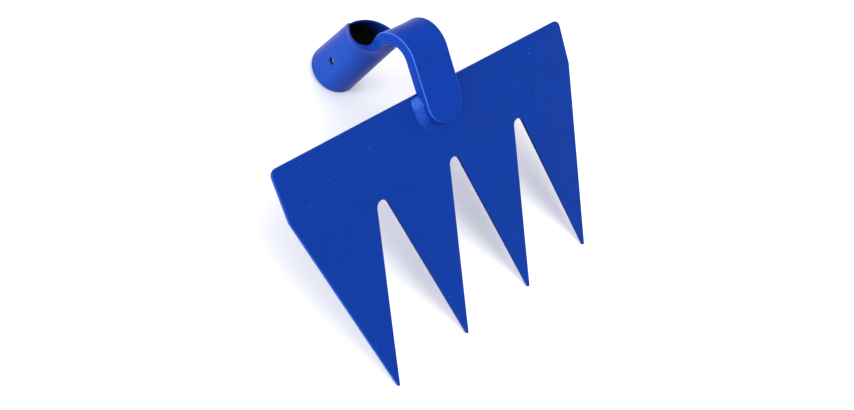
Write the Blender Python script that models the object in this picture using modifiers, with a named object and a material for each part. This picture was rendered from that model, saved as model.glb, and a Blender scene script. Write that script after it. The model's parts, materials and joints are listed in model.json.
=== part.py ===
"""Hand cultivator head: a toothed steel blade, a forged neck with a rolled handle socket, and the weld between them.

Run with: blender --background --python part.py

Lengths are in metres. Each piece is modelled in the blade's own frame: X along the blade's top edge, Z up from the
teeth, the blade's front face at Y = 0 and the socket behind it at +Y. The empty rest_frame then lays the whole head
down as it comes to rest on a floor, on the tips of its teeth and the low side of the socket's mouth.
"""

from math import atan2, ceil, cos, degrees, pi, radians, sin, tan

import bmesh
import bpy
from mathutils import Matrix, Vector

# %% Sizes of the blade
TOOTH_PITCH = 0.0625
TEETH = 4
PLATE_THICKNESS = 0.0025
TOOTH_TIP_DEPTH = 0.1619  # from the top edge to where a tooth's two sides would meet
NOTCH_ROOT_DEPTH = 0.0325  # from the top edge to where a notch's two sides would meet
NOTCH_ROOT_RADIUS = 0.0046
TIP_RADIUS = 0.0008
SIDE_EDGE_HEIGHT = 0.0316  # the upright stretch at each end, above the outer teeth's slanting sides
TOP_CORNER_RADIUS = 0.0045
SIDE_CORNER_RADIUS = 0.0020
PLATE_EDGE_ROUND = 0.0003

# %% Sizes of the forged neck and its socket, taken along the bar's underside
BAR_WIDTH = 0.0288
BAR_THICKNESS = 0.0077
TONGUE_LENGTH = 0.0434  # the straight part, from its rounded end to the start of the bend
TONGUE_OVERLAP = 0.0227  # how far the tongue reaches down the blade's face
TONGUE_CORNER_SHARE = 0.92  # of half the bar's width, taken by each rounded corner
BEND_RADIUS = 0.0115
DIP_RADIUS = 0.0500  # the opposite bend, where the bar dips into the socket
DIP_ANGLE = radians(13.5)
SOCKET_SLOPE = radians(21.5)  # the socket's axis, below the blade's normal
SOCKET_LENGTH = 0.0652  # the straight part, from the end of the dip to the mouth
SOCKET_MOUTH_RADIUS = 0.01735
SOCKET_TAPER = 0.029  # radius lost for each length along the socket
SOCKET_WALL = 0.0025
WING_WALL = 0.0016  # drawn thinner still at the wings' upper ends
SEAM_GAP = 0.0009
CURL_START = 0.0506  # from the mouth, where the tube begins to open out
CURL_LENGTH = 0.0370  # over which the tube opens out into the flat bar
THINNING_START = 0.0624  # from the mouth
THINNING_LENGTH = 0.0088  # over which the bar is drawn down to the wall
LEFT_WING_LENGTH = 0.0428  # from the mouth, along the seam
LEFT_SHOULDER_LENGTH = 0.0657
LEFT_SHOULDER_REACH = 0.0220  # from the bar's middle, round the outside
LEFT_WING_CORNER_RADIUS = 0.0034
RIGHT_WING_LENGTH = 0.0406
RIGHT_SHOULDER_LENGTH = 0.0606
RIGHT_SHOULDER_REACH = 0.0152
RIGHT_WING_CORNER_RADIUS = 0.0090
SHOULDER_FILLET = 0.0062
SHOULDER_CORNER_RADIUS = 0.0032
BAR_EDGE_ROUND = 0.0006
NAIL_HOLE_DIAMETER = 0.0050
NAIL_HOLE_FROM_MOUTH = 0.0258
NAIL_HOLE_TURN = radians(4.4)  # above the socket's left side

# %% Sizes of the weld
CONTACT_GAP = 0.0003
WELD_LEG = 0.0058
WELD_TOP_MARGIN = 0.0008  # between the blade's top edge and each end of the weld
WELD_BULGE_SHARE = 0.12  # of the leg, out of the straight line between the two toes
WELD_LEG_SHARES = (0.88, 1.0, 0.98, 0.94, 0.88, 0.82, 0.80, 0.80, 0.78, 0.76, 0.74, 0.72, 0.70, 0.70, 0.66, 0.58)
WELD_HEIGHT_SHARES = (0.62, 0.80, 0.85, 0.84, 0.74, 0.54, 0.35, 0.26, 0.24, 0.24, 0.26, 0.30, 0.38, 0.44, 0.46, 0.44)

# %% Fineness of the faceted solids
ARC_STEP = radians(12)
LEAST_CHORD = 0.0005
ROW_STEP = 0.0024
COLUMN_STEP = 0.0019
CUT_OVERRUN = 0.0050
LEAN_ROUNDS = 4

PAINT_BLUE = (0.0070, 0.0480, 0.3500, 1.0)


# %% Shared helpers
def clear_scene():
    for obj in list(bpy.data.objects):
        bpy.data.objects.remove(obj)


def collection(name):
    group = bpy.data.collections.new(name)
    bpy.context.scene.collection.children.link(group)
    return group


def paint(name, roughness):
    material = bpy.data.materials.new(name)
    material.use_nodes = True
    surface = material.node_tree.nodes["Principled BSDF"]
    surface.inputs["Base Color"].default_value = PAINT_BLUE
    surface.inputs["Roughness"].default_value = roughness
    surface.inputs["Metallic"].default_value = 0.0
    return material


def add_object(name, data, group, material, frame):
    obj = bpy.data.objects.new(name, data)
    group.objects.link(obj)
    obj.parent = frame
    if material:
        data.materials.append(material)
    return obj


def add_bevel(obj, width, segments, least_angle):
    bevel = obj.modifiers.new("rounded_edges", "BEVEL")
    bevel.width = width
    bevel.segments = segments
    bevel.limit_method = "ANGLE"
    bevel.angle_limit = least_angle
    return bevel


def smooth(share):
    """0 up to 0, 1 from 1 on, and an even S between them."""
    share = min(max(share, 0.0), 1.0)
    return share * share * (3 - 2 * share)


def rounded_outline(corners):
    """The closed outline through (x, y, radius) corners, with each corner replaced by an arc of its radius."""
    points = []
    for index, (x, y, radius) in enumerate(corners):
        corner = Vector((x, y))
        before = Vector(corners[index - 1][:2]) - corner
        after = Vector(corners[(index + 1) % len(corners)][:2]) - corner
        if radius == 0:
            points.append(corner)
            continue
        half = before.angle(after) / 2
        turn = pi - 2 * half
        centre = corner + (before.normalized() + after.normalized()).normalized() * (radius / sin(half))
        start = corner + before.normalized() * (radius / tan(half)) - centre
        sense = -1 if before.cross(after) > 0 else 1
        steps = max(min(ceil(turn / ARC_STEP), ceil(turn * radius / LEAST_CHORD)), 2)
        for step in range(steps + 1):
            points.append(centre + Matrix.Rotation(sense * turn * step / steps, 2) @ start)
    return points


# %% The blade
def blade_outline():
    """Round the plate from its top left corner, with the teeth's tips and the notches' roots taken in turn."""
    half_width = TEETH * TOOTH_PITCH / 2
    corners = [
        (-half_width, 0.0, TOP_CORNER_RADIUS),
        (half_width, 0.0, TOP_CORNER_RADIUS),
        (half_width, -SIDE_EDGE_HEIGHT, SIDE_CORNER_RADIUS),
    ]
    for tooth in range(TEETH):
        middle = half_width - (tooth + 0.5) * TOOTH_PITCH
        corners.append((middle, -TOOTH_TIP_DEPTH, TIP_RADIUS))
        if tooth < TEETH - 1:
            corners.append((middle - TOOTH_PITCH / 2, -NOTCH_ROOT_DEPTH, NOTCH_ROOT_RADIUS))
    corners.append((-half_width, -SIDE_EDGE_HEIGHT, SIDE_CORNER_RADIUS))
    return rounded_outline(corners)


def make_blade(group, frame):
    curve = bpy.data.curves.new("blade", "CURVE")
    curve.dimensions = "2D"
    curve.fill_mode = "BOTH"
    curve.extrude = PLATE_THICKNESS / 2
    outline = blade_outline()
    spline = curve.splines.new("POLY")
    spline.points.add(len(outline) - 1)
    spline.use_cyclic_u = True
    for point, place in zip(spline.points, outline):
        point.co = (place.x, place.y, 0.0, 1.0)
    blade = add_object("blade", curve, group, paint("blade_paint", 0.34), frame)
    blade.rotation_euler.x = pi / 2
    blade.location.y = PLATE_THICKNESS / 2
    weld = blade.modifiers.new("closed_caps", "WELD")
    weld.merge_threshold = 0.00001
    flat = blade.modifiers.new("one_face_a_side", "DECIMATE")
    flat.decimate_type = "DISSOLVE"
    flat.angle_limit = radians(0.5)
    add_bevel(blade, PLATE_EDGE_ROUND, 2, radians(60))
    blade.modifiers.new("even_triangles", "TRIANGULATE").ngon_method = "BEAUTY"
    return blade


# %% The spine that the neck follows: straight tongue, bend over the blade's top, dip, straight socket
def taper_angle():
    return atan2(SOCKET_TAPER, 1.0)


def bend_angle():
    """From the tongue, which points up, to the steepest part of the dip."""
    return pi / 2 + SOCKET_SLOPE + taper_angle() + DIP_ANGLE


def bend_length():
    return BEND_RADIUS * bend_angle()


def dip_length():
    return DIP_RADIUS * DIP_ANGLE


def neck_length():
    return TONGUE_LENGTH + bend_length() + dip_length() + SOCKET_LENGTH


def spine(run):
    """The underside's place (y, z) and its turn from straight up, at a run along it from the tongue's end."""
    place = Vector((-CONTACT_GAP, -TONGUE_OVERLAP))
    turn = 0.0
    stretches = (
        (TONGUE_LENGTH, 0.0),
        (bend_length(), 1 / BEND_RADIUS),
        (dip_length(), -1 / DIP_RADIUS),
        (SOCKET_LENGTH, 0.0),
    )
    for length, bending in stretches:
        step = min(run, length)
        run -= step
        half = bending * step / 2
        chord = step * (sin(half) / half if half else 1.0)
        place += chord * Vector((sin(turn + half), cos(turn + half)))
        turn += 2 * half
    return place, turn


def socket_radius(from_mouth):
    return SOCKET_MOUTH_RADIUS - SOCKET_TAPER * from_mouth


def curl_share(from_mouth):
    """1 where the section is a full tube, 0 where the bar is flat."""
    return 1 - smooth((from_mouth - CURL_START) / CURL_LENGTH)


def thickness(from_mouth, across):
    """The bar's full thickness, drawn down to the socket's wall, which is thinnest at the wings' upper ends."""
    outward = smooth((abs(across) - BAR_WIDTH / 2) / (BAR_WIDTH / 2))
    upward = smooth((from_mouth - SOCKET_LENGTH / 3) / (SOCKET_LENGTH / 2))
    wall = SOCKET_WALL - (SOCKET_WALL - WING_WALL) * outward * upward
    along = smooth((from_mouth - THINNING_START) / THINNING_LENGTH)
    return wall + (BAR_THICKNESS - wall) * along * (1 - outward)


def forged(across, run, share):
    """Where a point of the flat blank ends up: across the bar, along its run, at a share of its thickness."""
    from_mouth = neck_length() - run
    place, turn = spine(run)
    curl = curl_share(from_mouth)
    turn -= taper_angle() * curl
    bending = curl / socket_radius(from_mouth)
    angle = bending * across
    sideways = sin(angle) / bending if curl else across
    lift = (1 - cos(angle)) / bending if curl else 0.0
    depth = share * thickness(from_mouth, across)
    sideways -= sin(angle) * depth
    lift += cos(angle) * depth
    return Vector((sideways, place.x - lift * cos(turn), place.y + lift * sin(turn)))


# %% The neck and socket, forged from one flat blank
def wing_reach(from_mouth):
    """Half the way round the tube, up to the seam."""
    return pi * socket_radius(from_mouth) - SEAM_GAP / 2


def blank_outline():
    """The flat blank (across, run), from the mouth's left end, up the right side, round the tongue and back."""
    mouth = neck_length()
    half = BAR_WIDTH / 2
    corner = half * TONGUE_CORNER_SHARE
    return rounded_outline(
        [
            (-wing_reach(0.0), mouth, 0.0),
            (wing_reach(0.0), mouth, 0.0),
            (wing_reach(RIGHT_WING_LENGTH), mouth - RIGHT_WING_LENGTH, RIGHT_WING_CORNER_RADIUS),
            (RIGHT_SHOULDER_REACH, mouth - RIGHT_SHOULDER_LENGTH, 0.0),
            (half, mouth - RIGHT_SHOULDER_LENGTH - SHOULDER_FILLET, 0.0),
            (half, 0.0, corner),
            (-half, 0.0, corner),
            (-half, mouth - LEFT_SHOULDER_LENGTH, SHOULDER_FILLET),
            (-LEFT_SHOULDER_REACH, mouth - LEFT_SHOULDER_LENGTH, SHOULDER_CORNER_RADIUS),
            (-wing_reach(LEFT_WING_LENGTH), mouth - LEFT_WING_LENGTH, LEFT_WING_CORNER_RADIUS),
        ]
    )


def cut_evenly(mesh, axis, low, high, step):
    """Score the blank with planes across one axis, so that it can bend there."""
    count = ceil((high - low) / step)
    for index in range(1, count):
        place = Vector((0.0, 0.0, 0.0))
        place[axis] = low + (high - low) * index / count
        normal = Vector((0.0, 0.0, 0.0))
        normal[axis] = 1.0
        geometry = mesh.verts[:] + mesh.edges[:] + mesh.faces[:]
        bmesh.ops.bisect_plane(mesh, geom=geometry, dist=PLATE_EDGE_ROUND / 10, plane_co=place, plane_no=normal)


def make_neck(group, frame, cutters):
    mesh = bmesh.new()
    mesh.faces.new([mesh.verts.new((place.x, place.y, 0.0)) for place in blank_outline()])
    cut_evenly(mesh, 0, -wing_reach(0.0), wing_reach(0.0), COLUMN_STEP)
    cut_evenly(mesh, 1, 0.0, neck_length(), ROW_STEP)
    top = bmesh.ops.extrude_face_region(mesh, geom=mesh.faces[:])["geom"]
    for vert in top:
        if isinstance(vert, bmesh.types.BMVert):
            vert.co.z = 1.0
    for vert in mesh.verts:
        vert.co = forged(*vert.co)
    bmesh.ops.recalc_face_normals(mesh, faces=mesh.faces)
    data = bpy.data.meshes.new("neck_socket")
    mesh.to_mesh(data)
    mesh.free()
    neck = add_object("neck_socket", data, group, paint("neck_paint", 0.30), frame)
    add_bevel(neck, BAR_EDGE_ROUND, 2, radians(50))
    punch = neck.modifiers.new("nail_hole", "BOOLEAN")
    punch.operation = "DIFFERENCE"
    punch.solver = "EXACT"
    punch.object = make_nail_punch(cutters, frame)
    return neck


def make_nail_punch(cutters, frame):
    """A round punch through the socket's left wall, along a radius of the socket."""
    radius = socket_radius(NAIL_HOLE_FROM_MOUTH)
    across = -(pi / 2 + NAIL_HOLE_TURN) * radius
    outer = forged(across, neck_length() - NAIL_HOLE_FROM_MOUTH, 0.0)
    inner = forged(across, neck_length() - NAIL_HOLE_FROM_MOUTH, 1.0)
    mesh = bmesh.new()
    bmesh.ops.create_cone(
        mesh,
        cap_ends=True,
        segments=24,
        radius1=NAIL_HOLE_DIAMETER / 2,
        radius2=NAIL_HOLE_DIAMETER / 2,
        depth=SOCKET_WALL + 2 * CUT_OVERRUN,
    )
    data = bpy.data.meshes.new("nail_punch")
    mesh.to_mesh(data)
    mesh.free()
    punch = add_object("nail_punch", data, cutters, None, frame)
    punch.location = (outer + inner) / 2
    punch.rotation_euler = (outer - inner).to_track_quat("Z", "Y").to_euler()
    punch.hide_render = True
    punch.hide_viewport = True
    return punch


# %% The weld between the tongue and the blade
def weld_path():
    """Points round the tongue below the blade's top edge, each with the outward direction there."""
    half = BAR_WIDTH / 2
    corner = half * TONGUE_CORNER_SHARE
    top = -WELD_TOP_MARGIN
    side = top - (corner - TONGUE_OVERLAP)
    quarter = corner * pi / 2
    flat = 2 * (half - corner)
    stretches = (
        (side, Vector((-half, top)), 0.0, 0.0),
        (quarter, Vector((-half, corner - TONGUE_OVERLAP)), 0.0, 1 / corner),
        (flat, Vector((corner - half, -TONGUE_OVERLAP)), pi / 2, 0.0),
        (quarter, Vector((half - corner, -TONGUE_OVERLAP)), pi / 2, 1 / corner),
        (side, Vector((half, corner - TONGUE_OVERLAP)), pi, 0.0),
    )
    path = []
    for length, start, turn, bending in stretches:
        steps = max(ceil(length / ROW_STEP * 2), 1)
        for index in range(steps + (stretches[-1][1] == start)):
            run = length * index / steps
            half_turn = bending * run / 2
            chord = run * (sin(half_turn) / half_turn if half_turn else 1.0)
            heading = turn + half_turn
            place = start + chord * Vector((sin(heading), -cos(heading)))
            facing = turn + 2 * half_turn
            path.append((place, Vector((-cos(facing), -sin(facing)))))
    return path


def between(shares, way):
    """The value at a share of the weld's way round, between the hand-set ones."""
    place = way * (len(shares) - 1)
    index = min(int(place), len(shares) - 2)
    blend = smooth(place - index)
    return shares[index] * (1 - blend) + shares[index + 1] * blend


def weld_section(place, outward, leg, height):
    """A fillet's section in the corner of the blade and the bar: root, toe on the blade, crown, toe on the bar."""
    bulge = height * WELD_BULGE_SHARE
    profile = [(0.0, 0.0), (leg, 0.0)]
    for step in (1, 2, 3):
        along = step / 4
        swell = bulge * sin(pi * along)
        profile.append((leg * (1 - along) + swell, height * along + swell))
    profile.append((0.0, height))
    points = []
    for out, up in profile:
        flat = place + outward * (CONTACT_GAP + out)
        points.append(Vector((flat.x, -CONTACT_GAP - up, flat.y)))
    return points


def make_weld(group, frame):
    path = weld_path()
    mesh = bmesh.new()
    sections = []
    for index, (place, outward) in enumerate(path):
        way = index / (len(path) - 1)
        leg = WELD_LEG * between(WELD_LEG_SHARES, way)
        height = leg * between(WELD_HEIGHT_SHARES, way)
        sections.append([mesh.verts.new(point) for point in weld_section(place, outward, leg, height)])
    for section, following in zip(sections, sections[1:]):
        for index in range(len(section)):
            after = (index + 1) % len(section)
            mesh.faces.new((section[index], section[after], following[after], following[index]))
    mesh.faces.new(sections[0])
    mesh.faces.new(sections[-1])
    bmesh.ops.recalc_face_normals(mesh, faces=mesh.faces)
    data = bpy.data.meshes.new("weld_bead")
    mesh.to_mesh(data)
    mesh.free()
    return add_object("weld_bead", data, group, paint("weld_paint", 0.30), frame)


# %% How the head lies on a floor
def points_of(obj):
    """The evaluated object's points, in the frame that carries it."""
    bpy.context.view_layer.update()
    evaluated = obj.evaluated_get(bpy.context.evaluated_depsgraph_get())
    mesh = evaluated.to_mesh()
    points = [obj.matrix_world @ vert.co for vert in mesh.vertices]
    evaluated.to_mesh_clear()
    return points


def height(point, lean):
    """How high a point lies once the frame leans by this angle."""
    return point.z * cos(lean) - point.y * sin(lean)


def lay_down(frame, blade, others):
    """Turn the frame until the teeth's back edges and the socket's mouth share one floor, then centre it there."""
    blade_points = points_of(blade)
    neck_points = [point for obj in others for point in points_of(obj) if point.y > PLATE_THICKNESS]
    lean = 0.0
    for _ in range(LEAN_ROUNDS):
        tip = min(blade_points, key=lambda point: height(point, lean))
        lean = min(atan2(point.z - tip.z, point.y - tip.y) for point in neck_points)
    frame.rotation_euler.x = -lean
    points = [point for obj in [blade] + others for point in points_of(obj)]
    low = Vector([min(point[axis] for point in points) for axis in range(3)])
    high = Vector([max(point[axis] for point in points) for axis in range(3)])
    frame.location = (-(low.x + high.x) / 2, -(low.y + high.y) / 2, -low.z)
    print(f"leans {degrees(lean):.3f} degrees, placed at {frame.location * 1000} mm, size {(high - low) * 1000} mm")


def main():
    clear_scene()
    group = collection("hand_cultivator_head")
    cutters = collection("cutters")
    frame = bpy.data.objects.new("rest_frame", None)
    group.objects.link(frame)
    blade = make_blade(group, frame)
    neck = make_neck(group, frame, cutters)
    weld = make_weld(group, frame)
    lay_down(frame, blade, [neck, weld])


main()
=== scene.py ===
# %% [markdown]
# # Hand cultivator head
#
# The real object is a flat steel blade cut into four long teeth. A forged neck, rolled into a socket for
# the handle at its far end, is welded to the blade's front. The whole of it is powder coated blue. This
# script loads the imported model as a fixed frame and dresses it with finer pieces, paint, light and a
# camera.

# %% Load the frame
import json
from math import atan2, ceil, cos, degrees, pi, radians, sin, sqrt, tan

import bmesh
import bpy
from mathutils import Euler, Matrix, Vector


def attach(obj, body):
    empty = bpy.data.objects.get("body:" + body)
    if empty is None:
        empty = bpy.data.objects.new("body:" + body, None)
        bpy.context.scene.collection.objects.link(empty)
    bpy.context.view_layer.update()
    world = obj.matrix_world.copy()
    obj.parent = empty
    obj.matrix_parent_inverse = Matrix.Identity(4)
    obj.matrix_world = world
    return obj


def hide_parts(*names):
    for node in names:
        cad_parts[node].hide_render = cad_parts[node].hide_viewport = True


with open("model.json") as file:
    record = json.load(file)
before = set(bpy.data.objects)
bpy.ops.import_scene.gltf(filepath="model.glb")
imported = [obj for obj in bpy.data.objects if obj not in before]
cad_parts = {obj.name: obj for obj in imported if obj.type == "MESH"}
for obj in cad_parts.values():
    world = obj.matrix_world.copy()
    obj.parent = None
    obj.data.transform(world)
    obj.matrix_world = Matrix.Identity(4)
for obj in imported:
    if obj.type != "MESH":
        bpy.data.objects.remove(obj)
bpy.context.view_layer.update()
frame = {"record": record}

# %% [markdown]
# ## Where the drawing lies
#
# Every piece is drawn upright and then laid down: X runs along the blade's top edge, Z points up from the
# teeth, and the blade's front face is at Y = 0. On the floor the head lies on its teeth and on the
# socket's mouth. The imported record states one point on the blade's back and the direction that this face
# looks in, which is all that is needed to turn the drawing into place.

# %% The drawing's place on the floor
PLATE_THICKNESS = 0.0025
BACK_POINT = Vector((0.060, PLATE_THICKNESS, -0.020))

blade_back = next(mount for mount in frame["record"]["mounts"] if mount["name"] == "blade_back")
lean = atan2(-blade_back["axis"][2], blade_back["axis"][1])
turn = Matrix.Rotation(-lean, 4, "X")
LAID_DOWN = Matrix.Translation(Vector(blade_back["pos_m"]) - turn @ BACK_POINT) @ turn
print(f"the drawing leans {degrees(lean):.2f} degrees, its origin lies at {LAID_DOWN.translation}")


# %% [markdown]
# ## Helpers for plates
#
# A plate and a flat forging blank are both an outline with rounded corners, given a thickness and soft
# edges. One function rounds the corners, and another makes the solid. Paint never shows a razor edge, so
# the edges are bevelled in several steps.

# %% Outlines
ARC_STEP = radians(5)
LEAST_CHORD = 0.00025
LEAST_ARC_STEPS = 2


def smooth(share):
    """0 up to 0, 1 from 1 on, and an even S between them."""
    share = min(max(share, 0.0), 1.0)
    return share * share * (3 - 2 * share)


def rounded_outline(corners):
    """The closed outline through (x, y, radius) corners, each corner replaced by an arc of its radius."""
    points = []
    for index, (x, y, radius) in enumerate(corners):
        corner = Vector((x, y))
        if radius == 0:
            points.append(corner)
            continue
        before = Vector(corners[index - 1][:2]) - corner
        after = Vector(corners[(index + 1) % len(corners)][:2]) - corner
        half = before.angle(after) / 2
        arc = pi - 2 * half
        centre = corner + (before.normalized() + after.normalized()).normalized() * (radius / sin(half))
        start = corner + before.normalized() * (radius / tan(half)) - centre
        sense = -1 if before.cross(after) > 0 else 1
        steps = max(min(ceil(arc / ARC_STEP), ceil(arc * radius / LEAST_CHORD)), LEAST_ARC_STEPS)
        for step in range(steps + 1):
            points.append(centre + Matrix.Rotation(sense * arc * step / steps, 2) @ start)
    return points


# %% Slabs
SHARP_EDGE = radians(60)
ROUND_PROFILE = 0.5
EDGE_STEPS = 4


def is_rim(edge):
    """Whether an edge of a flat slab is sharp and runs along its top or its bottom."""
    return edge.calc_face_angle(0.0) > SHARP_EDGE and edge.verts[0].co.z == edge.verts[1].co.z


def round_off(mesh, edges, radius, steps):
    bmesh.ops.bevel(
        mesh, geom=edges, offset=radius, segments=steps, profile=ROUND_PROFILE, affect="EDGES"
    )


def slab(outline, thickness, edge_round):
    """A solid of this outline in the XY plane, from Z = 0 up to its thickness, with rounded edges."""
    mesh = bmesh.new()
    bottom = mesh.faces.new([mesh.verts.new((point.x, point.y, 0.0)) for point in outline])
    lifted = bmesh.ops.extrude_face_region(mesh, geom=[bottom])["geom"]
    for part in lifted:
        if isinstance(part, bmesh.types.BMVert):
            part.co.z = thickness
    bmesh.ops.recalc_face_normals(mesh, faces=mesh.faces)
    round_off(mesh, [edge for edge in mesh.edges if is_rim(edge)], edge_round, EDGE_STEPS)
    return mesh


# %% A finished piece
def finished(name, mesh, node_name, material):
    """The drawn mesh as a piece of the scene, laid down, smooth, and standing for its CAD node."""
    mesh.transform(LAID_DOWN)
    data = bpy.data.meshes.new(name)
    mesh.to_mesh(data)
    mesh.free()
    data.shade_smooth()
    data.materials.append(material)
    piece = bpy.data.objects.new(name, data)
    bpy.context.scene.collection.objects.link(piece)
    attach(piece, "root")
    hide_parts(node_name)
    print(name, len(data.vertices), "points")
    return piece


# %% [markdown]
# ## Paint
#
# The finish is a polyester powder coat over steel: a plastic film sprayed as dry, charged powder and
# baked until it flows. It leaves a faint orange-peel ripple a millimetre or two across, a dull sheen, a
# slow drift of tone and now and then a speck of dust caught in it. Its IOR is that of a polyester, about
# 1.5. Light and shade are painted into the colour as well. A lighter blue is painted on as a highlight
# along the strap's outer edges, on the weld's crown, on the plate's outer side edges and a little on the
# socket's left side. A near-black is painted on as shade deep in the socket's bore and, fading towards the
# tips, on the walls of the notches between the teeth. The meshes carry both as attributes, and one
# function mixes them over the colour.
#
# Real specks are a tenth of a millimetre or two wide. They are drawn coarser than that, as the peaks of
# a noise whose cells are 1.1 mm wide, so that they show.

# %% A node helper and colours
def add_node(tree, kind, settings=None, values=None, links=None):
    """Add a node, set its properties and its inputs' values, and link sockets into its inputs."""
    node = tree.nodes.new(kind)
    for name, value in (settings or {}).items():
        setattr(node, name, value)
    for name, value in (values or {}).items():
        node.inputs[name].default_value = value
    for name, source in (links or {}).items():
        tree.links.new(source, node.inputs[name])
    return node


def linear(hex_colour):
    """An sRGB hex colour as linear values for Blender's sockets, by the curve of the sRGB standard."""
    channels = [int(hex_colour[start:start + 2], 16) / 255 for start in (1, 3, 5)]
    return tuple(c / 12.92 if c <= 0.04045 else ((c + 0.055) / 1.055) ** 2.4 for c in channels) + (1.0,)


# %% Powder coat
POWDER_COAT_IOR = 1.5
SHEEN = 0.035
ORANGE_PEEL_WIDTH = 0.0016
ORANGE_PEEL_HEIGHT = 0.00003
PEEL_OCTAVES = 1.0
TONE_WIDTH = 0.045
TONE_OCTAVES = 6.0
TONE_GRAIN = 0.8
DUST_COLOUR = "#305CC0"
DUST_SPACING = 0.0011
DUST_OCTAVES = 0.0
DUST_FROM = 0.82
DUST_TO = 0.88
# A lighter blue painted on as a highlight on edges, on the weld's crown and on the socket's left side.
HIGHLIGHT_COLOUR = "#4A80D8"
HIGHLIGHT_LEAST = 0.5
HIGHLIGHT_MOST = 0.72
HIGHLIGHT_PATCH_FROM = 0.38
HIGHLIGHT_PATCH_TO = 0.55
# A near-black painted on as shade in the socket's bore and on the notches' walls.
PAINTED_SHADE_COLOUR = "#0B0D12"


def coat_and_highlight_patterns(tree):
    """The tone's drift, specks, peel and the flecks of painted highlight, as values over the surface."""
    place = add_node(tree, "ShaderNodeTexCoord").outputs["Object"]
    drift = add_node(
        tree,
        "ShaderNodeTexNoise",
        values={"Scale": 1 / TONE_WIDTH, "Detail": TONE_OCTAVES, "Roughness": TONE_GRAIN},
        links={"Vector": place},
    )
    grit = add_node(
        tree,
        "ShaderNodeTexNoise",
        values={"Scale": 1 / DUST_SPACING, "Detail": DUST_OCTAVES},
        links={"Vector": place},
    )
    speck = add_node(
        tree,
        "ShaderNodeMapRange",
        values={"From Min": DUST_FROM, "From Max": DUST_TO},
        links={"Value": grit.outputs["Fac"]},
    )
    peel = add_node(
        tree,
        "ShaderNodeTexNoise",
        values={"Scale": 1 / ORANGE_PEEL_WIDTH, "Detail": PEEL_OCTAVES},
        links={"Vector": place},
    )
    highlight_flecks = add_node(
        tree,
        "ShaderNodeMapRange",
        values={
            "From Min": HIGHLIGHT_PATCH_FROM,
            "From Max": HIGHLIGHT_PATCH_TO,
            "To Min": HIGHLIGHT_LEAST,
            "To Max": HIGHLIGHT_MOST,
        },
        links={"Value": peel.outputs["Fac"]},
    )
    return drift.outputs["Fac"], speck.outputs["Result"], peel.outputs["Fac"], highlight_flecks.outputs["Result"]


# %% The coat itself
def powder_coat(name, colour, shade, roughness, peel_share, highlight_attribute, shade_attribute=None):
    """Baked powder coat: its drifting colour under specks, painted highlight and painted shade, and the
    peel's bump.
    """
    material = bpy.data.materials.new(name)
    material.use_nodes = True
    tree = material.node_tree
    drift, speck, peel, highlight_flecks = coat_and_highlight_patterns(tree)
    highlight = add_node(tree, "ShaderNodeAttribute", {"attribute_name": highlight_attribute})
    highlight_patches = add_node(
        tree,
        "ShaderNodeMath",
        {"operation": "MULTIPLY"},
        links={0: highlight.outputs["Fac"], 1: highlight_flecks},
    )
    skin = add_node(
        tree,
        "ShaderNodeMix",
        {"data_type": "RGBA"},
        {"A": linear(colour), "B": linear(shade)},
        {"Factor": drift},
    )
    # Over the coat's colour go the dust specks, the painted highlight and, where given, the painted shade.
    covers = [(DUST_COLOUR, speck), (HIGHLIGHT_COLOUR, highlight_patches.outputs["Value"])]
    if shade_attribute:
        dark_shade = add_node(tree, "ShaderNodeAttribute", {"attribute_name": shade_attribute})
        covers.append((PAINTED_SHADE_COLOUR, dark_shade.outputs["Fac"]))
    for cover_colour, share in covers:
        skin = add_node(
            tree,
            "ShaderNodeMix",
            {"data_type": "RGBA"},
            {"B": linear(cover_colour)},
            {"Factor": share, "A": skin.outputs["Result"]},
        )
    relief = add_node(tree, "ShaderNodeMath", {"operation": "ADD"}, links={0: peel, 1: speck})
    bump = add_node(
        tree,
        "ShaderNodeBump",
        values={"Strength": peel_share, "Distance": ORANGE_PEEL_HEIGHT},
        links={"Height": relief.outputs["Value"]},
    )
    surface = tree.nodes["Principled BSDF"]
    tree.links.new(skin.outputs["Result"], surface.inputs["Base Color"])
    tree.links.new(bump.outputs["Normal"], surface.inputs["Normal"])
    surface.inputs["Roughness"].default_value = roughness
    surface.inputs["IOR"].default_value = POWDER_COAT_IOR
    surface.inputs["Specular IOR Level"].default_value = SHEEN
    return material


# %% The three coats
BLADE_COAT = powder_coat(
    "powder_coat_on_plate",
    colour="#073490",
    shade="#072A78",
    roughness=0.42,
    peel_share=0.6,
    highlight_attribute="painted_highlight",
    shade_attribute="painted_shade",
)
NECK_COAT = powder_coat(
    "powder_coat_on_forging",
    colour="#083598",
    shade="#082C80",
    roughness=0.30,
    peel_share=0.5,
    highlight_attribute="painted_highlight",
    shade_attribute="painted_shade",
)
WELD_COAT = powder_coat(
    "powder_coat_on_weld",
    colour="#083598",
    shade="#082C80",
    roughness=0.22,
    peel_share=0.4,
    highlight_attribute="painted_highlight",
)

# %% [markdown]
# ## The blade
#
# On the real tool this is 2.5 mm spring steel, cut flat with four teeth in one go. The teeth are straight
# sided and meet in round roots. The outline is the same as the CAD model's, with finer arcs, and the cut
# edge carries the attributes of painted shade and painted highlight that the paint reads.

# %% The blade's outline
TOOTH_PITCH = 0.0625
TEETH = 4
TOOTH_TIP_DEPTH = 0.1619
NOTCH_ROOT_DEPTH = 0.0325
NOTCH_ROOT_RADIUS = 0.0046
TIP_RADIUS = 0.0008
SIDE_EDGE_HEIGHT = 0.0316
TOP_CORNER_RADIUS = 0.0045
SIDE_CORNER_RADIUS = 0.0020
PLATE_EDGE_ROUND = 0.0006


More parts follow.
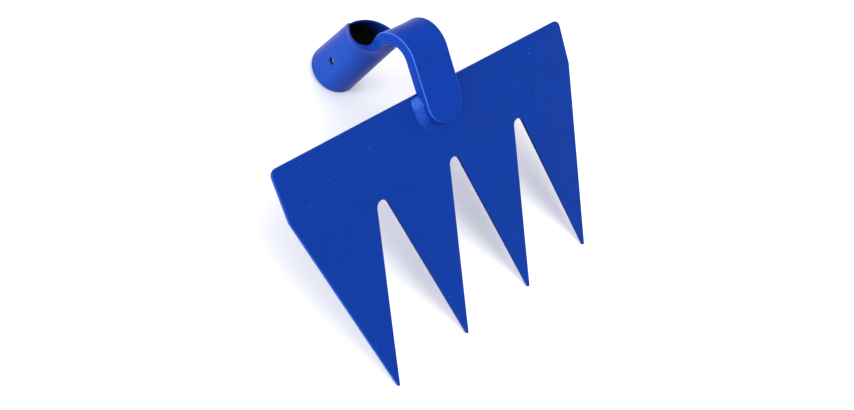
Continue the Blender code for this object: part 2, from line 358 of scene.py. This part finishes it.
def blade_corners():
    half_width = TEETH * TOOTH_PITCH / 2
    corners = [
        (-half_width, 0.0, TOP_CORNER_RADIUS),
        (half_width, 0.0, TOP_CORNER_RADIUS),
        (half_width, -SIDE_EDGE_HEIGHT, SIDE_CORNER_RADIUS),
    ]
    for tooth in range(TEETH):
        middle = half_width - (tooth + 0.5) * TOOTH_PITCH
        corners.append((middle, -TOOTH_TIP_DEPTH, TIP_RADIUS))
        if tooth < TEETH - 1:
            corners.append((middle - TOOTH_PITCH / 2, -NOTCH_ROOT_DEPTH, NOTCH_ROOT_RADIUS))
    corners.append((-half_width, -SIDE_EDGE_HEIGHT, SIDE_CORNER_RADIUS))
    return corners


# %% Painted shade and painted highlight on the cut edge
NOTCH_ROOT_SHADE = 0.85
NOTCH_TIP_SHADE = 0.15
SIDE_HIGHLIGHT = 0.3


def edge_light_and_shade(across, height, depth):
    """How much painted shade and painted highlight a point of the plate gets: 0 on its faces, more on its
    edge.
    """
    from_face = max(min(depth, PLATE_THICKNESS - depth), 0.0)
    from_root = (-height - NOTCH_ROOT_DEPTH) / (TOOTH_TIP_DEPTH - NOTCH_ROOT_DEPTH)
    between_teeth = abs(across) < (TEETH - 1) * TOOTH_PITCH / 2
    # Painted shade on the notches' walls, darkest at their roots and fading towards the tips.
    if between_teeth and from_root > 0:
        dark_shade = NOTCH_ROOT_SHADE + (NOTCH_TIP_SHADE - NOTCH_ROOT_SHADE) * from_root
        return dark_shade * smooth(from_face / PLATE_EDGE_ROUND), 0.0
    # Painted highlight on the plate's outer side edges.
    if not between_teeth and height < -TOP_CORNER_RADIUS / 2:
        return 0.0, SIDE_HIGHLIGHT * min(from_face / PLATE_EDGE_ROUND, 1.0)
    return 0.0, 0.0


# %% The blade's solid
STAND_UP = Matrix.Translation((0.0, PLATE_THICKNESS, 0.0)) @ Matrix.Rotation(pi / 2, 4, "X")

plate = slab(rounded_outline(blade_corners()), PLATE_THICKNESS, PLATE_EDGE_ROUND)
plate.transform(STAND_UP)
# Each point of the plate carries its painted shade and painted highlight as attributes.
edge_shade = plate.verts.layers.float.new("painted_shade")
edge_highlight = plate.verts.layers.float.new("painted_highlight")
for vert in plate.verts:
    vert[edge_shade], vert[edge_highlight] = edge_light_and_shade(vert.co.x, vert.co.z, vert.co.y)
blade = finished("toothed_blade", plate, "blade", BLADE_COAT)
blade.modifiers.new("flat_faces_stay_flat", "WEIGHTED_NORMAL")

# %% [markdown]
# ## The neck and socket
#
# A smith makes this from one flat blank. The narrow end is bent over the blade's top, and the wide end is
# drawn thin and rolled into a tube whose edges meet at a seam. The same steps are used here: a flat slab
# is scored into a fine grid, and then one function moves each point to where forging takes it.

# %% Sizes of the neck
BAR_WIDTH = 0.0288
BAR_THICKNESS = 0.0077
TONGUE_LENGTH = 0.0434
TONGUE_OVERLAP = 0.0227
TONGUE_CORNER_SHARE = 0.92
BEND_RADIUS = 0.0115
DIP_RADIUS = 0.0500
DIP_ANGLE = radians(13.5)
SOCKET_SLOPE = radians(21.5)
SOCKET_LENGTH = 0.0652
SOCKET_MOUTH_RADIUS = 0.01735
SOCKET_TAPER = 0.029
SOCKET_WALL = 0.0025
SEAM_GAP = 0.0009
CURL_START = 0.0506
CURL_LENGTH = 0.0370
BAR_EDGE_ROUND = 0.0008
CONTACT_GAP = 0.0003

TONGUE_CORNER = BAR_WIDTH / 2 * TONGUE_CORNER_SHARE
TAPER_ANGLE = atan2(SOCKET_TAPER, 1.0)
BEND_ANGLE = pi / 2 + SOCKET_SLOPE + TAPER_ANGLE + DIP_ANGLE
BEND_LENGTH = BEND_RADIUS * BEND_ANGLE
DIP_LENGTH = DIP_RADIUS * DIP_ANGLE
NECK_LENGTH = TONGUE_LENGTH + BEND_LENGTH + DIP_LENGTH + SOCKET_LENGTH
NECK_STRETCHES = (
    (TONGUE_LENGTH, 0.0),
    (BEND_LENGTH, 1 / BEND_RADIUS),
    (DIP_LENGTH, -1 / DIP_RADIUS),
    (SOCKET_LENGTH, 0.0),
)
print(f"the blank is {NECK_LENGTH * 1000:.1f} mm long")


# %% A line of straight and bent stretches
def walked(start, stretches, run):
    """The place and the turn from straight up, after a run along (length, bending) stretches."""
    place = Vector(start)
    heading = 0.0
    for length, bending in stretches:
        step = min(run, length)
        run -= step
        half = bending * step / 2
        chord = step * (sin(half) / half if half else 1.0)
        place += chord * Vector((sin(heading + half), cos(heading + half)))
        heading += 2 * half
    return place, heading


# %% How wide and how thick the metal is drawn
WING_WALL = 0.0016
WING_THINNING_START = SOCKET_LENGTH / 3
WING_THINNING_LENGTH = SOCKET_LENGTH / 2
BAR_THINNING_START = 0.0624
BAR_THINNING_LENGTH = 0.0088
LARGEST_EDGE_SHARE = 0.48


def socket_radius(from_mouth):
    return SOCKET_MOUTH_RADIUS - SOCKET_TAPER * from_mouth


def wing_reach(from_mouth):
    """Half the way round the tube, up to the seam."""
    return pi * socket_radius(from_mouth) - SEAM_GAP / 2


def thickness_at(from_mouth, across):
    """The bar's full thickness in its middle, drawn down towards the mouth and out along the wings."""
    outward = smooth((abs(across) - BAR_WIDTH / 2) / (BAR_WIDTH / 2))
    upward = smooth((from_mouth - WING_THINNING_START) / WING_THINNING_LENGTH)
    wall = SOCKET_WALL - (SOCKET_WALL - WING_WALL) * outward * upward
    along = smooth((from_mouth - BAR_THINNING_START) / BAR_THINNING_LENGTH)
    return wall + (BAR_THICKNESS - wall) * along * (1 - outward)


def squeezed(depth, thickness):
    """A depth in the full bar as one in the thinned bar; its rounded edges keep their size if they can."""
    edge = min(BAR_EDGE_ROUND, LARGEST_EDGE_SHARE * thickness)
    if depth <= BAR_EDGE_ROUND:
        return depth * edge / BAR_EDGE_ROUND
    if depth >= BAR_THICKNESS - BAR_EDGE_ROUND:
        return thickness - (BAR_THICKNESS - depth) * edge / BAR_EDGE_ROUND
    share = (depth - BAR_EDGE_ROUND) / (BAR_THICKNESS - 2 * BAR_EDGE_ROUND)
    return edge + share * (thickness - 2 * edge)


# %% Where forging takes each point
def forged(across, run, depth):
    """Where a blank's point ends up: across the bar, along its run, at a depth from its underside."""
    from_mouth = NECK_LENGTH - run
    place, turned = walked((-CONTACT_GAP, -TONGUE_OVERLAP), NECK_STRETCHES, run)
    curl = 1 - smooth((from_mouth - CURL_START) / CURL_LENGTH)
    turned -= TAPER_ANGLE * curl
    bending = curl / socket_radius(from_mouth)
    angle = bending * across
    depth = squeezed(depth, thickness_at(from_mouth, across))
    sideways = (sin(angle) / bending if curl else across) - sin(angle) * depth
    lift = ((1 - cos(angle)) / bending if curl else 0.0) + cos(angle) * depth
    return Vector((sideways, place.x - lift * cos(turned), place.y + lift * sin(turned)))


# %% The blank's outline
LEFT_WING_LENGTH = 0.0428
LEFT_SHOULDER_LENGTH = 0.0657
LEFT_SHOULDER_REACH = 0.0220
LEFT_WING_CORNER_RADIUS = 0.0034
RIGHT_WING_LENGTH = 0.0406
RIGHT_SHOULDER_LENGTH = 0.0606
RIGHT_SHOULDER_REACH = 0.0152
RIGHT_WING_CORNER_RADIUS = 0.0090
SHOULDER_FILLET = 0.0062
SHOULDER_CORNER_RADIUS = 0.0032


def blank_corners():
    half = BAR_WIDTH / 2
    return [
        (-wing_reach(0.0), NECK_LENGTH, 0.0),
        (wing_reach(0.0), NECK_LENGTH, 0.0),
        (wing_reach(RIGHT_WING_LENGTH), NECK_LENGTH - RIGHT_WING_LENGTH, RIGHT_WING_CORNER_RADIUS),
        (RIGHT_SHOULDER_REACH, NECK_LENGTH - RIGHT_SHOULDER_LENGTH, 0.0),
        (half, NECK_LENGTH - RIGHT_SHOULDER_LENGTH - SHOULDER_FILLET, 0.0),
        (half, 0.0, TONGUE_CORNER),
        (-half, 0.0, TONGUE_CORNER),
        (-half, NECK_LENGTH - LEFT_SHOULDER_LENGTH, SHOULDER_FILLET),
        (-LEFT_SHOULDER_REACH, NECK_LENGTH - LEFT_SHOULDER_LENGTH, SHOULDER_CORNER_RADIUS),
        (-wing_reach(LEFT_WING_LENGTH), NECK_LENGTH - LEFT_WING_LENGTH, LEFT_WING_CORNER_RADIUS),
    ]


# %% Where shade is painted
SHADE_FROM_MOUTH = 0.012
SHADE_BELOW_THROAT = 0.060
SHADE_FADE = 0.022
INNER_SIDE_FROM = 0.6
SIDE_FADE = 0.3


def painted_shade_share(from_mouth, depth):
    """Painted shade: 1 deep inside the socket's bore, 0 outside and near the openings."""
    inside = smooth((depth / BAR_THICKNESS - INNER_SIDE_FROM) / SIDE_FADE)
    past_mouth = smooth(from_mouth / SHADE_FROM_MOUTH)
    below_throat = smooth((SHADE_BELOW_THROAT - from_mouth) / SHADE_FADE)
    return inside * past_mouth * below_throat


# %% Where highlights are painted
HIGHLIGHT_LINE_WIDTH = 0.00055
OUTER_SIDE_TO = 0.5
SOCKET_HIGHLIGHT = 0.2
SOCKET_HIGHLIGHT_MIDDLE = -0.023
SOCKET_HIGHLIGHT_REACH = 0.021
SOCKET_HIGHLIGHT_FADE = SOCKET_LENGTH / 3


def highlight_share(across, run, depth):
    """Painted highlight: 1 on the strap's outer edges, and a little on the socket's left side."""
    crown = BAR_EDGE_ROUND * (1 - sqrt(0.5))
    from_centre = Vector((abs(across) - BAR_WIDTH / 2 + TONGUE_CORNER, max(TONGUE_CORNER - run, 0.0)))
    inward = TONGUE_CORNER - (from_centre.length if run < TONGUE_CORNER else from_centre.x)
    away = Vector((inward - crown, depth - (BAR_THICKNESS - crown))).length
    from_mouth = NECK_LENGTH - run
    along = smooth((from_mouth - LEFT_SHOULDER_LENGTH) / SHOULDER_FILLET) * smooth(run / TONGUE_CORNER)
    line = smooth(1 - away / HIGHLIGHT_LINE_WIDTH) * along
    outside = smooth((OUTER_SIDE_TO - depth / BAR_THICKNESS) / SIDE_FADE)
    on_socket = smooth((SOCKET_LENGTH - from_mouth) / SOCKET_HIGHLIGHT_FADE)
    on_left = smooth(1 - abs(across - SOCKET_HIGHLIGHT_MIDDLE) / SOCKET_HIGHLIGHT_REACH)
    return max(line, SOCKET_HIGHLIGHT * outside * on_socket * on_left)


# %% [markdown]
# The nail hole is punched through the flat blank, as a smith would, and its edges are rounded. The
# scoring lines come after it, so that the hole bends with the wall.

# %% Punch the nail hole
NAIL_HOLE_DIAMETER = 0.0050
NAIL_HOLE_FROM_MOUTH = 0.0258
NAIL_HOLE_TURN = radians(4.4)
PUNCH_SIDES = 48
PUNCH_LENGTH = 4 * BAR_THICKNESS
HOLE_EDGE_STEPS = 3


def as_object(name, mesh):
    """A drawn mesh as an object of its own in the scene."""
    data = bpy.data.meshes.new(name)
    mesh.to_mesh(data)
    mesh.free()
    holder = bpy.data.objects.new(name, data)
    bpy.context.scene.collection.objects.link(holder)
    return holder


def punched(mesh):
    """The flat blank with its nail hole, whose edges are rounded like the rest."""
    radius = socket_radius(NAIL_HOLE_FROM_MOUTH)
    hole = Vector((-(pi / 2 + NAIL_HOLE_TURN) * radius, NECK_LENGTH - NAIL_HOLE_FROM_MOUTH, 0.0))
    blank = as_object("blank", mesh)
    punch_mesh = bmesh.new()
    bmesh.ops.create_cone(
        punch_mesh,
        cap_ends=True,
        segments=PUNCH_SIDES,
        radius1=NAIL_HOLE_DIAMETER / 2,
        radius2=NAIL_HOLE_DIAMETER / 2,
        depth=PUNCH_LENGTH,
    )
    punch = as_object("punch", punch_mesh)
    punch.location = hole
    cut = blank.modifiers.new("nail_hole", "BOOLEAN")
    cut.operation = "DIFFERENCE"
    cut.solver = "EXACT"
    cut.object = punch
    bpy.context.view_layer.update()
    result = bpy.data.meshes.new_from_object(blank.evaluated_get(bpy.context.evaluated_depsgraph_get()))
    for holder in (blank, punch):
        bpy.data.objects.remove(holder)
    mesh = bmesh.new()
    mesh.from_mesh(result)
    rim = [
        edge
        for edge in mesh.edges
        if is_rim(edge) and all((vert.co.xy - hole.xy).length < NAIL_HOLE_DIAMETER for vert in edge.verts)
    ]
    round_off(mesh, rim, BAR_EDGE_ROUND / 2, HOLE_EDGE_STEPS)
    return mesh


# %% Score the blank
SCORE_STEP = 0.0009
SCORE_TOLERANCE = 0.00001


def score(mesh, axis, low, high):
    """Cut the blank with even planes across one axis, so that it can bend there."""
    count = ceil((high - low) / SCORE_STEP)
    for index in range(1, count):
        place = Vector((0.0, 0.0, 0.0))
        place[axis] = low + (high - low) * index / count
        normal = Vector((0.0, 0.0, 0.0))
        normal[axis] = 1.0
        geometry = mesh.verts[:] + mesh.edges[:] + mesh.faces[:]
        bmesh.ops.bisect_plane(mesh, geom=geometry, dist=SCORE_TOLERANCE, plane_co=place, plane_no=normal)


# %% Forge the neck
blank = punched(slab(rounded_outline(blank_corners()), BAR_THICKNESS, BAR_EDGE_ROUND))
score(blank, 0, -wing_reach(0.0), wing_reach(0.0))
score(blank, 1, 0.0, NECK_LENGTH)
# Each point of the blank carries its painted shade and painted highlight before it is forged.
painted_shade = blank.verts.layers.float.new("painted_shade")
painted_highlight = blank.verts.layers.float.new("painted_highlight")
for vert in blank.verts:
    across, run, depth = vert.co
    vert[painted_shade] = painted_shade_share(NECK_LENGTH - run, depth)
    vert[painted_highlight] = highlight_share(across, run, depth)
    vert.co = forged(across, run, depth)
bmesh.ops.recalc_face_normals(blank, faces=blank.faces)
finished("forged_neck_and_socket", blank, "neck_socket", NECK_COAT)

# %% [markdown]
# ## The weld
#
# A hand-laid bead of weld holds the neck's tongue to the blade. It starts as a fat, round blob at the top
# of the left side, runs out to a low bead with a hollow toe round the bottom, and shows the scales that
# each drop of molten metal leaves. A bead follows a path by a rule, so it is made with Geometry Nodes: a
# section is swept along the path, lowered by heights stored on the path, and its skin is raised in
# scales.

# %% The weld's line round the tongue
WELD_TOP_MARGIN = 0.0008
WELD_SIDE = TONGUE_OVERLAP - TONGUE_CORNER - WELD_TOP_MARGIN
WELD_STRETCHES = (
    (WELD_SIDE, 0.0),
    (TONGUE_CORNER * pi / 2, 1 / TONGUE_CORNER),
    (BAR_WIDTH - 2 * TONGUE_CORNER, 0.0),
    (TONGUE_CORNER * pi / 2, 1 / TONGUE_CORNER),
    (WELD_SIDE, 0.0),
)
WELD_LENGTH = sum(length for length, bending in WELD_STRETCHES)


def tongue_side(run):
    """The point (x, z) on the tongue's side at a run along the weld, which starts at the left top."""
    place, heading = walked((-BAR_WIDTH / 2, WELD_TOP_MARGIN), WELD_STRETCHES, run)
    return Vector((place.x, -place.y))


# %% How the bead swells and sinks
WELD_LEG = 0.0058
WELD_LEG_SHARES = (
    0.88, 1.0, 0.98, 0.94, 0.88, 0.82, 0.80, 0.80, 0.78, 0.76, 0.74, 0.72, 0.70, 0.70, 0.66, 0.58,
)
WELD_HEIGHT_SHARES = (
    0.62, 0.80, 0.85, 0.84, 0.74, 0.54, 0.35, 0.26, 0.24, 0.24, 0.26, 0.30, 0.38, 0.44, 0.46, 0.44,
)
WELD_END_ROUND = 0.0016
WELD_END_LEAST = 0.1
WELD_TOE_SPREAD = 0.2
WELD_FAT_LENGTH = 0.010
WELD_CROWN_LENGTH = 0.0085
WELD_CROWN_HIGHLIGHT = 0.32
WELD_FLANK_LENGTH = 0.020
WELD_FLANK_HIGHLIGHT = 0.18
PATH_STEP = 0.00016


def share_between(shares, place):
    """A value at a place from 0 to 1 along a row of given shares."""
    place *= len(shares) - 1
    index = min(int(place), len(shares) - 2)
    blend = smooth(place - index)
    return shares[index] * (1 - blend) + shares[index + 1] * blend


def fading(run, length):
    """1 at the weld's start, 0 from this length on, and fading over its second half."""
    return smooth((length - run) / (length / 2))


def weld_path():
    """The path as a string of edges in the XY plane, with the bead's measures stored on its points."""
    count = ceil(WELD_LENGTH / PATH_STEP)
    points = []
    measures = {"leg": [], "height": [], "hollow": [], "painted_highlight": []}
    for index in range(count + 1):
        run = WELD_LENGTH * index / count
        place = tongue_side(run)
        points.append((place.x, place.y, 0.0))
        from_end = max(min(run, WELD_LENGTH - run, WELD_END_ROUND), 0.0) / WELD_END_ROUND
        ending = sqrt(1 - (1 - from_end) ** 2) * (1 - WELD_END_LEAST) + WELD_END_LEAST
        hollow = smooth((run - WELD_FAT_LENGTH) / WELD_FAT_LENGTH)
        spread = 1 + WELD_TOE_SPREAD * hollow
        # Painted highlight on the weld's crown and flanks near its start.
        crown = WELD_CROWN_HIGHLIGHT * fading(run, WELD_CROWN_LENGTH)
        flank = WELD_FLANK_HIGHLIGHT * fading(run, WELD_FLANK_LENGTH)
        measures["leg"].append(WELD_LEG * spread * ending * share_between(WELD_LEG_SHARES, index / count))
        measures["height"].append(share_between(WELD_HEIGHT_SHARES, index / count) / spread)
        measures["hollow"].append(hollow)
        measures["painted_highlight"].append(crown + flank)
    data = bpy.data.meshes.new("weld_path")
    data.from_pydata(points, [(index, index + 1) for index in range(count)], [])
    for name, values in measures.items():
        data.attributes.new(name, "FLOAT", "POINT").data.foreach_set("value", values)
    return data


# %% The bead's section
WELD_ROOT_DEPTH = 0.0006
SECTION_STEPS = 14
SECTION_BULGE_POWER = 1.25


def weld_section():
    """A closed fillet section of unit leg: its root lies inside the corner, and its face bulges."""
    root = -WELD_ROOT_DEPTH / WELD_LEG
    angles = [pi / 2 * step / SECTION_STEPS for step in range(SECTION_STEPS + 1)]
    face = [(cos(angle) ** SECTION_BULGE_POWER, sin(angle) ** SECTION_BULGE_POWER) for angle in angles]
    outline = [(root, root), (1.0, root)] + face + [(root, 1.0)]
    data = bpy.data.curves.new("weld_section", "CURVE")
    data.dimensions = "3D"
    spline = data.splines.new("POLY")
    spline.points.add(len(outline) - 1)
    for point, (out, up) in zip(spline.points, outline):
        point.co = (out, -up, 0.0, 1.0)
    spline.use_cyclic_u = True
    return data


# %% [markdown]
# ### The bead's tree
#
# The tree has three parts: the section is swept along the path, the swept skin is lowered and hollowed,
# and the lowered skin is pushed out in scales. Its arithmetic is written as a table of sums, each with a
# name that later sums can use, because a long chain of Math nodes is easier to read that way.

# %% The sums of the bead's tree
RIPPLE_SPACING = 0.0011
RIPPLE_HEIGHT = 0.0003
RIPPLE_BOW = 0.0022
RIPPLE_WANDER = 0.0009
RIPPLE_POWER = 0.8
# The scales stray from their even spacing in patches about 4 mm wide.
WANDER_SCALE = 260.0
WANDER_OCTAVES = 2.0

BEAD_SUMS = (
    ("above", "MAXIMUM", "z", 0.0),
    ("below", "MINIMUM", "z", 0.0),
    ("unit rise", "DIVIDE", "above", "leg"),
    ("exponent", "ADD", "hollow", 1.0),
    ("hollowed", "POWER", "unit rise", "exponent"),
    ("full rise", "MULTIPLY", "hollowed", "leg"),
    ("low rise", "MULTIPLY", "full rise", "height"),
    ("lowered z", "ADD", "low rise", "below"),
    ("half turn", "MULTIPLY", "around", pi),
    ("arch", "SINE", "half turn"),
    ("bow", "MULTIPLY", "arch", "Ripple Bow"),
    ("astray", "MULTIPLY", "wander", "Ripple Wander"),
    ("bowed run", "ADD", "run", "bow"),
    ("whole run", "ADD", "bowed run", "astray"),
    ("ripples", "DIVIDE", "whole run", "Ripple Spacing"),
    ("phase", "MULTIPLY", "ripples", pi),
    ("wave", "SINE", "phase"),
    ("scale", "ABSOLUTE", "wave"),
    ("full scale", "POWER", "scale", RIPPLE_POWER),
    ("lift", "MULTIPLY", "full scale", "Ripple Height"),
)


# %% Sweep the section along the path
BEAD_SOCKETS = (
    ("Path", "INPUT", "NodeSocketGeometry"),
    ("Section", "INPUT", "NodeSocketObject"),
    ("Ripple Spacing", "INPUT", "NodeSocketFloat"),
    ("Ripple Height", "INPUT", "NodeSocketFloat"),
    ("Ripple Bow", "INPUT", "NodeSocketFloat"),
    ("Ripple Wander", "INPUT", "NodeSocketFloat"),
    ("Material", "INPUT", "NodeSocketMaterial"),
    ("Bead", "OUTPUT", "NodeSocketGeometry"),
)


def swept_section(tree, given):
    """The section swept along the path, and the values that are known at each point of its skin."""
    path = add_node(tree, "GeometryNodeMeshToCurve", links={"Mesh": given["Path"]})
    facing = add_node(
        tree, "GeometryNodeSetCurveNormal", {"mode": "Z_UP"}, links={"Curve": path.outputs["Curve"]}
    )
    along = add_node(tree, "GeometryNodeCaptureAttribute", links={"Geometry": facing.outputs["Curve"]})
    along.capture_items.new("FLOAT", "Run")
    tree.links.new(add_node(tree, "GeometryNodeSplineParameter").outputs["Length"], along.inputs["Run"])
    section = add_node(tree, "GeometryNodeObjectInfo", links={"Object": given["Section"]})
    outline = section.outputs["Geometry"]
    around = add_node(tree, "GeometryNodeCaptureAttribute", links={"Geometry": outline})
    around.capture_items.new("FLOAT", "Around")
    share = add_node(tree, "GeometryNodeSplineParameter").outputs["Factor"]
    tree.links.new(share, around.inputs["Around"])
    known = {"run": along.outputs["Run"], "around": around.outputs["Around"]}
    for name in ("leg", "height", "hollow"):
        stored = add_node(tree, "GeometryNodeInputNamedAttribute", {"data_type": "FLOAT"}, {"Name": name})
        known[name] = stored.outputs["Attribute"]
    swept = add_node(
        tree,
        "GeometryNodeCurveToMesh",
        values={"Fill Caps": True},
        links={
            "Curve": along.outputs["Geometry"],
            "Profile Curve": around.outputs["Geometry"],
            "Scale": known["leg"],
        },
    )
    return swept.outputs["Mesh"], known


# %% Lower the skin and raise its scales
def bead_tree():
    """Sweep the section along the path, lower it by the stored height, and raise its skin in scales."""
    tree = bpy.data.node_groups.new("weld_bead_tree", "GeometryNodeTree")
    for name, direction, kind in BEAD_SOCKETS:
        tree.interface.new_socket(name, in_out=direction, socket_type=kind)
    given = add_node(tree, "NodeGroupInput").outputs
    swept, known = swept_section(tree, given)
    known.update({name: given[name] for name, direction, kind in BEAD_SOCKETS if direction == "INPUT"})

    place = add_node(tree, "GeometryNodeInputPosition").outputs["Position"]
    parts = add_node(tree, "ShaderNodeSeparateXYZ", links={"Vector": place}).outputs
    wander = add_node(
        tree,
        "ShaderNodeTexNoise",
        values={"Scale": WANDER_SCALE, "Detail": WANDER_OCTAVES},
        links={"Vector": place},
    )
    known["z"] = parts["Z"]
    known["wander"] = wander.outputs["Fac"]
    for name, operation, *terms in BEAD_SUMS:
        values = {index: term for index, term in enumerate(terms) if isinstance(term, float)}
        sources = {index: known[term] for index, term in enumerate(terms) if isinstance(term, str)}
        sum_node = add_node(tree, "ShaderNodeMath", {"operation": operation}, values, sources)
        known[name] = sum_node.outputs["Value"]

    lowered = add_node(
        tree, "ShaderNodeCombineXYZ", links={"X": parts["X"], "Y": parts["Y"], "Z": known["lowered z"]}
    )
    flattened = add_node(
        tree,
        "GeometryNodeSetPosition",
        links={"Geometry": swept, "Position": lowered.outputs["Vector"]},
    )
    facing_out = add_node(tree, "GeometryNodeInputNormal").outputs["Normal"]
    lift = add_node(
        tree,
        "ShaderNodeVectorMath",
        {"operation": "SCALE"},
        links={"Vector": facing_out, "Scale": known["lift"]},
    )
    rippled = add_node(
        tree,
        "GeometryNodeSetPosition",
        links={"Geometry": flattened.outputs["Geometry"], "Offset": lift.outputs["Vector"]},
    )
    real = add_node(tree, "GeometryNodeRealizeInstances", links={"Geometry": rippled.outputs["Geometry"]})
    painted = add_node(
        tree,
        "GeometryNodeSetMaterial",
        links={"Geometry": real.outputs["Geometry"], "Material": given["Material"]},
    )
    add_node(tree, "NodeGroupOutput", links={"Bead": painted.outputs["Geometry"]})
    return tree


# %% Grow a tree on a path
def grown(name, path, tree, inputs):
    """What a tree grows on a path, as a plain mesh."""
    base = bpy.data.objects.new(name, path)
    bpy.context.scene.collection.objects.link(base)
    grower = base.modifiers.new(name, "NODES")
    grower.node_group = tree
    for item in tree.interface.items_tree:
        if item.name in inputs and item.in_out == "INPUT":
            grower[item.identifier] = inputs[item.name]
    bpy.context.view_layer.update()
    result = bpy.data.meshes.new_from_object(base.evaluated_get(bpy.context.evaluated_depsgraph_get()))
    bpy.data.objects.remove(base)
    mesh = bmesh.new()
    mesh.from_mesh(result)
    return mesh


# %% The bead itself
MERGE_DISTANCE = 0.000001

section = bpy.data.objects.new("weld_section", weld_section())
bpy.context.scene.collection.objects.link(section)
bead_inputs = {
    "Section": section,
    "Ripple Spacing": RIPPLE_SPACING,
    "Ripple Height": RIPPLE_HEIGHT,
    "Ripple Bow": RIPPLE_BOW,
    "Ripple Wander": RIPPLE_WANDER,
    "Material": WELD_COAT,
}
bead = grown("weld_bead_on_tongue", weld_path(), bead_tree(), bead_inputs)
bpy.data.objects.remove(section)
bmesh.ops.remove_doubles(bead, verts=bead.verts, dist=MERGE_DISTANCE)
bmesh.ops.recalc_face_normals(bead, faces=bead.faces)
bead.transform(Matrix.Rotation(pi / 2, 4, "X"))
finished("rippled_weld_bead", bead, "weld_bead", WELD_COAT)

# %% [markdown]
# ## Floor, light and camera
#
# The head lies on plain white paper in a bright white room. A soft box stands far to its left, since the
# edges that face left are the brightest, a smaller one fills from the front left, and a wide one hangs
# overhead and softens the shadows. The camera stands where the corners of the flat plate say that the
# photograph was taken from.

# %% Floor
FLOOR_SIZE = 30.0
PAPER_WHITE = "#F7F7F7"
PAPER_ROUGHNESS = 0.9

floor_mesh = bmesh.new()
bmesh.ops.create_grid(floor_mesh, x_segments=1, y_segments=1, size=FLOOR_SIZE / 2)
floor = as_object("floor", floor_mesh)
paper = bpy.data.materials.new("matt_white_paper")
paper.use_nodes = True
paper_surface = paper.node_tree.nodes["Principled BSDF"]
paper_surface.inputs["Base Color"].default_value = linear(PAPER_WHITE)
paper_surface.inputs["Roughness"].default_value = PAPER_ROUGHNESS
floor.data.materials.append(paper)


# %% Light
ROOM_STRENGTH = 1.05


def soft_box(name, place, target, width, power):
    """A square area light at a place, turned to its target."""
    data = bpy.data.lights.new(name, "AREA")
    data.shape = "SQUARE"
    data.size = width
    data.energy = power
    lamp = bpy.data.objects.new(name, data)
    lamp.location = place
    lamp.rotation_euler = (Vector(target) - Vector(place)).to_track_quat("-Z", "Y").to_euler()
    bpy.context.scene.collection.objects.link(lamp)


soft_box("left_soft_box", place=(-1.52, 0.61, 0.65), target=(0.0, 0.0, 0.04), width=0.7, power=18.0)
soft_box("front_fill", place=(-1.40, -0.62, 0.30), target=(0.0, 0.0, 0.05), width=0.5, power=7.0)
soft_box("overhead_soft_box", place=(0.2, -0.3, 2.2), target=(0.0, 0.0, 0.0), width=1.6, power=20.0)
room = bpy.data.worlds.new("room")
room.use_nodes = True
room_light = room.node_tree.nodes["Background"]
room_light.inputs["Color"].default_value = (1.0, 1.0, 1.0, 1.0)
room_light.inputs["Strength"].default_value = ROOM_STRENGTH
bpy.context.scene.world = room

# %% Camera
CAMERA_PLACE = (-0.355317, -0.428921, 0.130189)
CAMERA_TURN = (radians(69.0563), radians(16.6207), radians(-43.2894))
CAMERA_LENS = 39.1115
CAMERA_SENSOR = 36.0
CAMERA_NEAR = 0.01

camera_data = bpy.data.cameras.new("camera")
camera_data.lens = CAMERA_LENS
camera_data.sensor_width = CAMERA_SENSOR
camera_data.clip_start = CAMERA_NEAR
camera = bpy.data.objects.new("camera", camera_data)
camera_turn = Euler(CAMERA_TURN).to_matrix().to_4x4()
camera.matrix_world = LAID_DOWN @ Matrix.Translation(CAMERA_PLACE) @ camera_turn
bpy.context.scene.collection.objects.link(camera)
bpy.context.scene.camera = camera
bpy.context.scene.view_settings.view_transform = "Standard"

# %% [markdown]
# ## Finish
#
# The view layer is brought up to date once more.

# %% Bring the scene up to date
bpy.context.view_layer.update()
